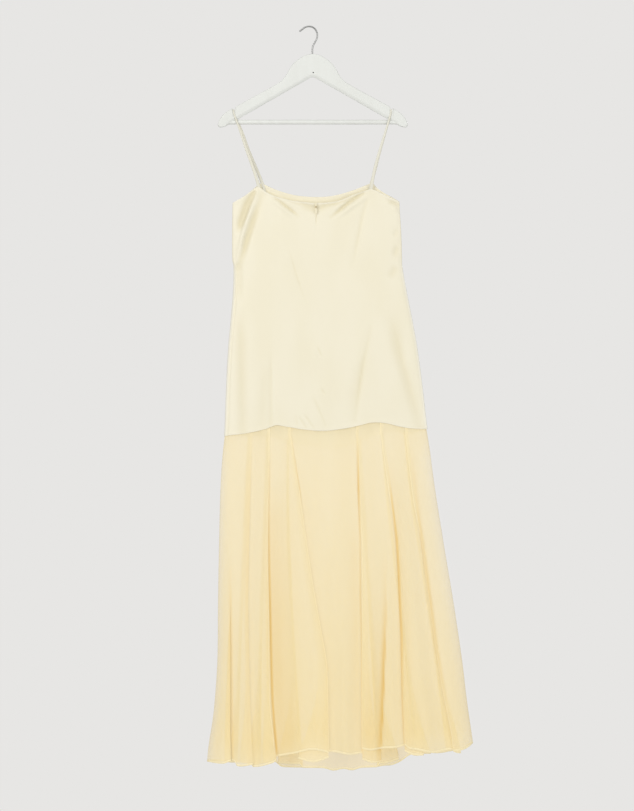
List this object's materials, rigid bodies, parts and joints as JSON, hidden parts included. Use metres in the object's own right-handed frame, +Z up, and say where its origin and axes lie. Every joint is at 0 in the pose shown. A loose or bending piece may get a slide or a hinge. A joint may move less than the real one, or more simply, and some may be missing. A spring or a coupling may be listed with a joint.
{
  "type": "drop-waist maxi dress on a wooden hanger",
  "caption": "Sleeveless satin dress with a dropped waist and a long sheer chiffon skirt, hanging by thin straps on a white wooden hanger with a wire hook.",
  "frame": {"origin": "the underside of the hook's crown, where it hangs on a rail or pin", "axes": "+Z up, +X to the right as the back of the dress is looked at, +Y from the dress's back to its front"},
  "size_m": [0.6125, 0.0923, 1.7107],
  "materials": {
    "satin": "satin, soft sheen",
    "chiffon": "sheer, matte",
    "zip_metal": "lacquered in the colour of the cloth",
    "painted_wood": "white semi-gloss paint",
    "chrome": "polished wire"
  },
  "bodies": {
    "dress": {"bodice_back_left": "satin", "bodice_back_right": "satin", "bodice_front": "satin", "strap_left": "satin", "strap_right": "satin", "skirt_back_side_left": "chiffon", "skirt_back_left_outer": "chiffon", "skirt_back_left_inner": "chiffon", "skirt_back_centre": "chiffon", "skirt_back_right_inner": "chiffon", "skirt_back_right_outer": "chiffon", "skirt_back_side_right": "chiffon", "skirt_front_side_left": "chiffon", "skirt_front_left_outer": "chiffon", "skirt_front_left_inner": "chiffon", "skirt_front_centre": "chiffon", "skirt_front_right_inner": "chiffon", "skirt_front_right_outer": "chiffon", "skirt_front_side_right": "chiffon", "zip_slider": "zip_metal", "hanger_body": "painted_wood", "hanger_bar": "painted_wood", "hanger_hook": "chrome"},
    "pull_tab": {"zip_pull_tab": "zip_metal"}
  },
  "joints": [
    {"name": "pull_tab_swing", "type": "hinge", "parent": "dress", "child": "pull_tab", "pos_m": [0.01503, -0.017, -0.413], "axis": [-1, 0, 0], "range_deg": [0, 170]}
  ]
}
